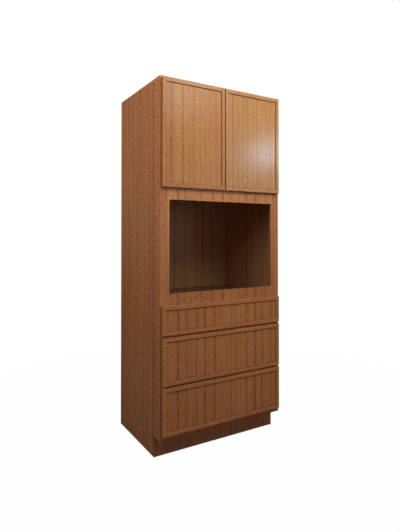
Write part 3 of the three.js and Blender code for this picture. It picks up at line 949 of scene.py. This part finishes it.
def modelScrew(s):
    bpy.ops.object.select_all(action="DESELECT")
    bpy.ops.mesh.primitive_cylinder_add(
        vertices=s["vertices"], radius=s["headRadius"], depth=s["rim"],
        location=(0, s["rim"] / 2, 0), rotation=(math.pi / 2, 0, 0))
    screw = bpy.context.object
    applyPlace()
    pick(screw, lambda centre, normal: normal.y > facing)
    for step, scale in s["crown"]:
        pull((0, step, 0), (scale, 1, scale))
    bpy.ops.object.mode_set(mode="OBJECT")
    pick(screw, lambda centre, normal: normal.y < -facing)
    bpy.ops.mesh.inset(thickness=s["headRadius"] - s["shankRadius"])
    tip = s["tipLength"] * s["shankLength"]
    pull((0, tip - s["shankLength"], 0))
    pull((0, -tip, 0), (s["tipScale"], 1, s["tipScale"]))
    bpy.ops.object.mode_set(mode="OBJECT")

    top = s["rim"] + sum(step for step, scale in s["crown"])
    bpy.ops.object.select_all(action="DESELECT")
    width = s["recessHalf"] * s["armWidth"]
    bpy.ops.mesh.primitive_cube_add(size=width, location=(0, top, 0))
    cross = bpy.context.object
    cross.scale.y = 2 * s["recessDepth"] / width
    applyPlace()
    reach = s["recessHalf"] - width / 2
    for arm in [(1, 0, 0), (-1, 0, 0), (0, 0, 1), (0, 0, -1)]:
        away = Vector(arm)
        pick(cross, lambda centre, normal: (
            normal.dot(away) > facing and abs(centre.dot(away)) < width))
        pull(away * reach)
        bpy.ops.object.mode_set(mode="OBJECT")
    bpy.ops.object.select_all(action="DESELECT")
    screw.select_set(True)
    bpy.context.view_layer.objects.active = screw
    modify(screw, "BOOLEAN", {"operation": "DIFFERENCE", "object": cross, "solver": "EXACT"})
    bpy.data.objects.remove(cross)
    smooth(s["smoothTo"])
    return screw


panScrew, flatScrew = modelScrew(panScrewSet), modelScrew(flatScrewSet)
headings = {"+y": (0, 0, 0), "+x": (0, 0, -math.pi / 2), "-x": (0, 0, math.pi / 2)}


def addScrew(screw, name, body, slot, heading, place, twist):  # twist is where the driver stopped
    twin = copyPiece(screw, name, body, (0, 0, 0), (0, twist, 0))
    twin.rotation_euler = headings[heading]
    twin.location = place
    applyPlace()
    twin.data.materials.clear()
    twin.data.materials.append(finishes[slot])


hingeScrewSet = {
    "cupSpread": 0.0225,         # above and below the hinge's middle
    "plateSpread": 0.016,
    "firstTwist": 0.4,
    "nextTwist": 0.9,            # radians more at each screw
    "sideTwist": 0.3,
}


def addHingeScrews(s):
    slot = "nickel_steel"
    for side, sign in sides:
        low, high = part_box(side + "_stile")
        stileMiddle = (low[1] + high[1]) / 2
        inward = "+x" if sign < 0 else "-x"
        for level in ["lower", "upper"]:
            hinge = f"{side}_door_{level}_hinge"
            low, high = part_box(hinge + "_cup")
            x, z = (low[0] + high[0]) / 2, (low[2] + high[2]) / 2
            plateX = nearFace(hinge + "_arm", sign)
            for number, up in enumerate([-1, 1]):
                twist = s["firstTwist"] + s["nextTwist"] * number + s["sideTwist"] * sign
                name = f"{hinge}_cup_screw_{number + 1}"
                place = (x, high[1], z + up * s["cupSpread"])
                addScrew(flatScrew, name, side + "_door", slot, "+y", place, twist)
                name = f"{hinge}_plate_screw_{number + 1}"
                place = (plateX, stileMiddle, z + up * s["plateSpread"])
                addScrew(panScrew, name, "cabinet", slot, inward, place, twist)


runnerScrewSet = {
    "along": [-0.262, -0.035, 0.205],
    "railStep": 0.02,            # the rail's screws lie this much behind the track's
    "trackWeb": 0.0095,          # from the face nearest the middle to the one under the head
    "railWeb": 0.0012,
    "nextTwist": 0.5,
    "sideTwist": 0.35,
    "heightTwist": 10,           # radians per metre
    "railTwist": 0.7,
}


def addRunnerScrews(s):
    slot = "zinc_steel"
    for drawer in drawers:
        for side, sign in sides:
            inward, outward = ("+x", "-x") if sign < 0 else ("-x", "+x")
            runner = f"{drawer}_{side}"
            low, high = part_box(runner + "_track")
            z = (low[2] + high[2]) / 2
            trackX = nearFace(runner + "_track", sign) + sign * s["trackWeb"]
            railX = nearFace(runner + "_rail", sign) + sign * s["railWeb"]
            for number, y in enumerate(s["along"]):
                twist = s["nextTwist"] * number + s["sideTwist"] * sign + s["heightTwist"] * z
                name = f"{runner}_track_screw_{number + 1}"
                addScrew(panScrew, name, "cabinet", slot, inward, (trackX, y, z), twist)
                name = f"{runner}_rail_screw_{number + 1}"
                place = (railX, y + s["railStep"], z)
                twist += s["railTwist"]
                addScrew(panScrew, name, drawer, slot, outward, place, twist)


frontScrewSet = {
    "across": [-0.24, 0.24],
    "fromBottom": 0.038,
    "fromTop": 0.022,
    "nextTwist": 0.8,
    "heightTwist": 5,
}


def addFrontScrews(s):  # through the box front, into the drawer front
    for drawer in drawers:
        low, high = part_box(drawer + "_box_front")
        heights = [low[2] + s["fromBottom"], high[2] - s["fromTop"]]
        for number, (x, z) in enumerate([(x, z) for x in s["across"] for z in heights]):
            name = f"{drawer}_front_screw_{number + 1}"
            twist = s["nextTwist"] * number + s["heightTwist"] * z
            addScrew(panScrew, name, drawer, "zinc_steel", "+y", (x, high[1], z), twist)


addHingeScrews(hingeScrewSet)
addRunnerScrews(runnerScrewSet)
addFrontScrews(frontScrewSet)
for screw in (panScrew, flatScrew):
    bpy.data.objects.remove(screw)
print("screws done")


print("done")
